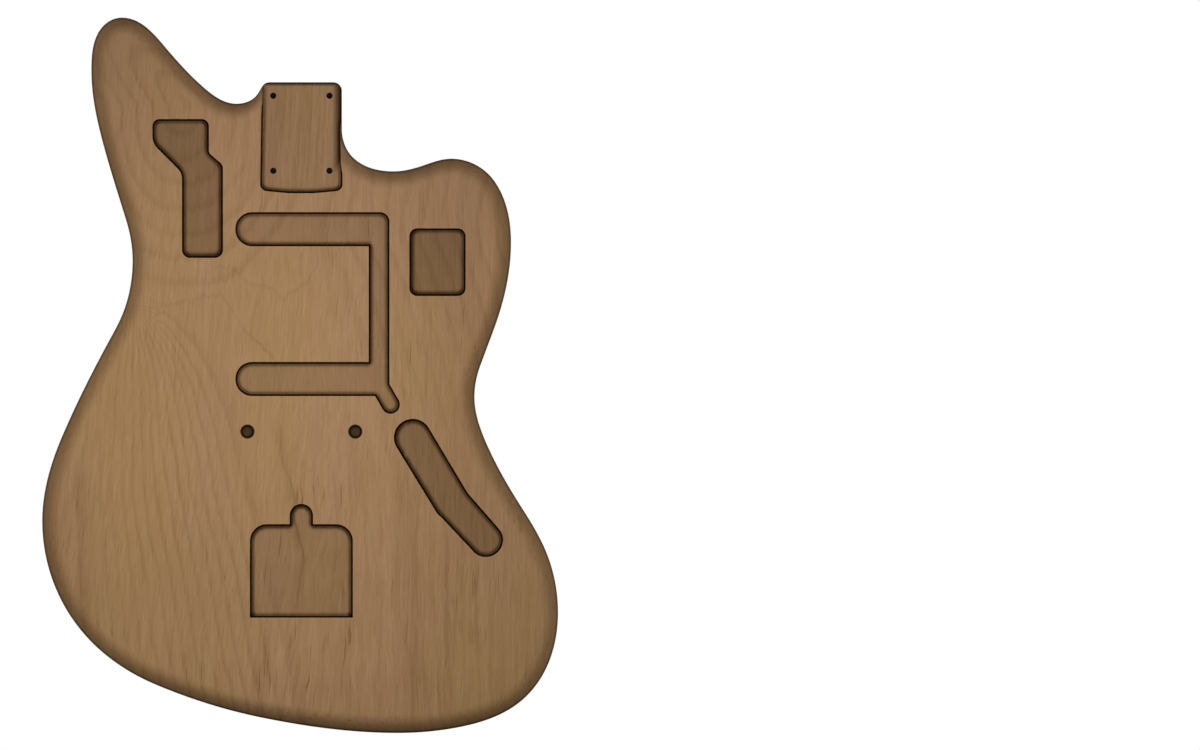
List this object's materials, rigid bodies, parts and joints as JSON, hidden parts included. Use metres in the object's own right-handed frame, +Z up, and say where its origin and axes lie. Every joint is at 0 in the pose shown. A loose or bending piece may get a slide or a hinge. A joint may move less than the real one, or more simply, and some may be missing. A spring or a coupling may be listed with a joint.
{
  "type": "electric guitar body",
  "caption": "Bare wooden electric guitar body with an offset waist, routed for a bolt-on neck, pickups, controls and a floating tremolo.",
  "frame": {"origin": "middle of the neck pocket's floor, between its four screw holes", "axes": "+Z up the centre line towards the neck, -Y out of the front face, +X towards the treble side"},
  "size_m": [0.3493, 0.0444, 0.4844],
  "materials": {
    "bare_alder": "sanded bare alder, unfinished"
  },
  "bodies": {
    "root": {"bass_side_board": "bare_alder", "centre_board": "bare_alder", "treble_side_board": "bare_alder"}
  },
  "joints": []
}
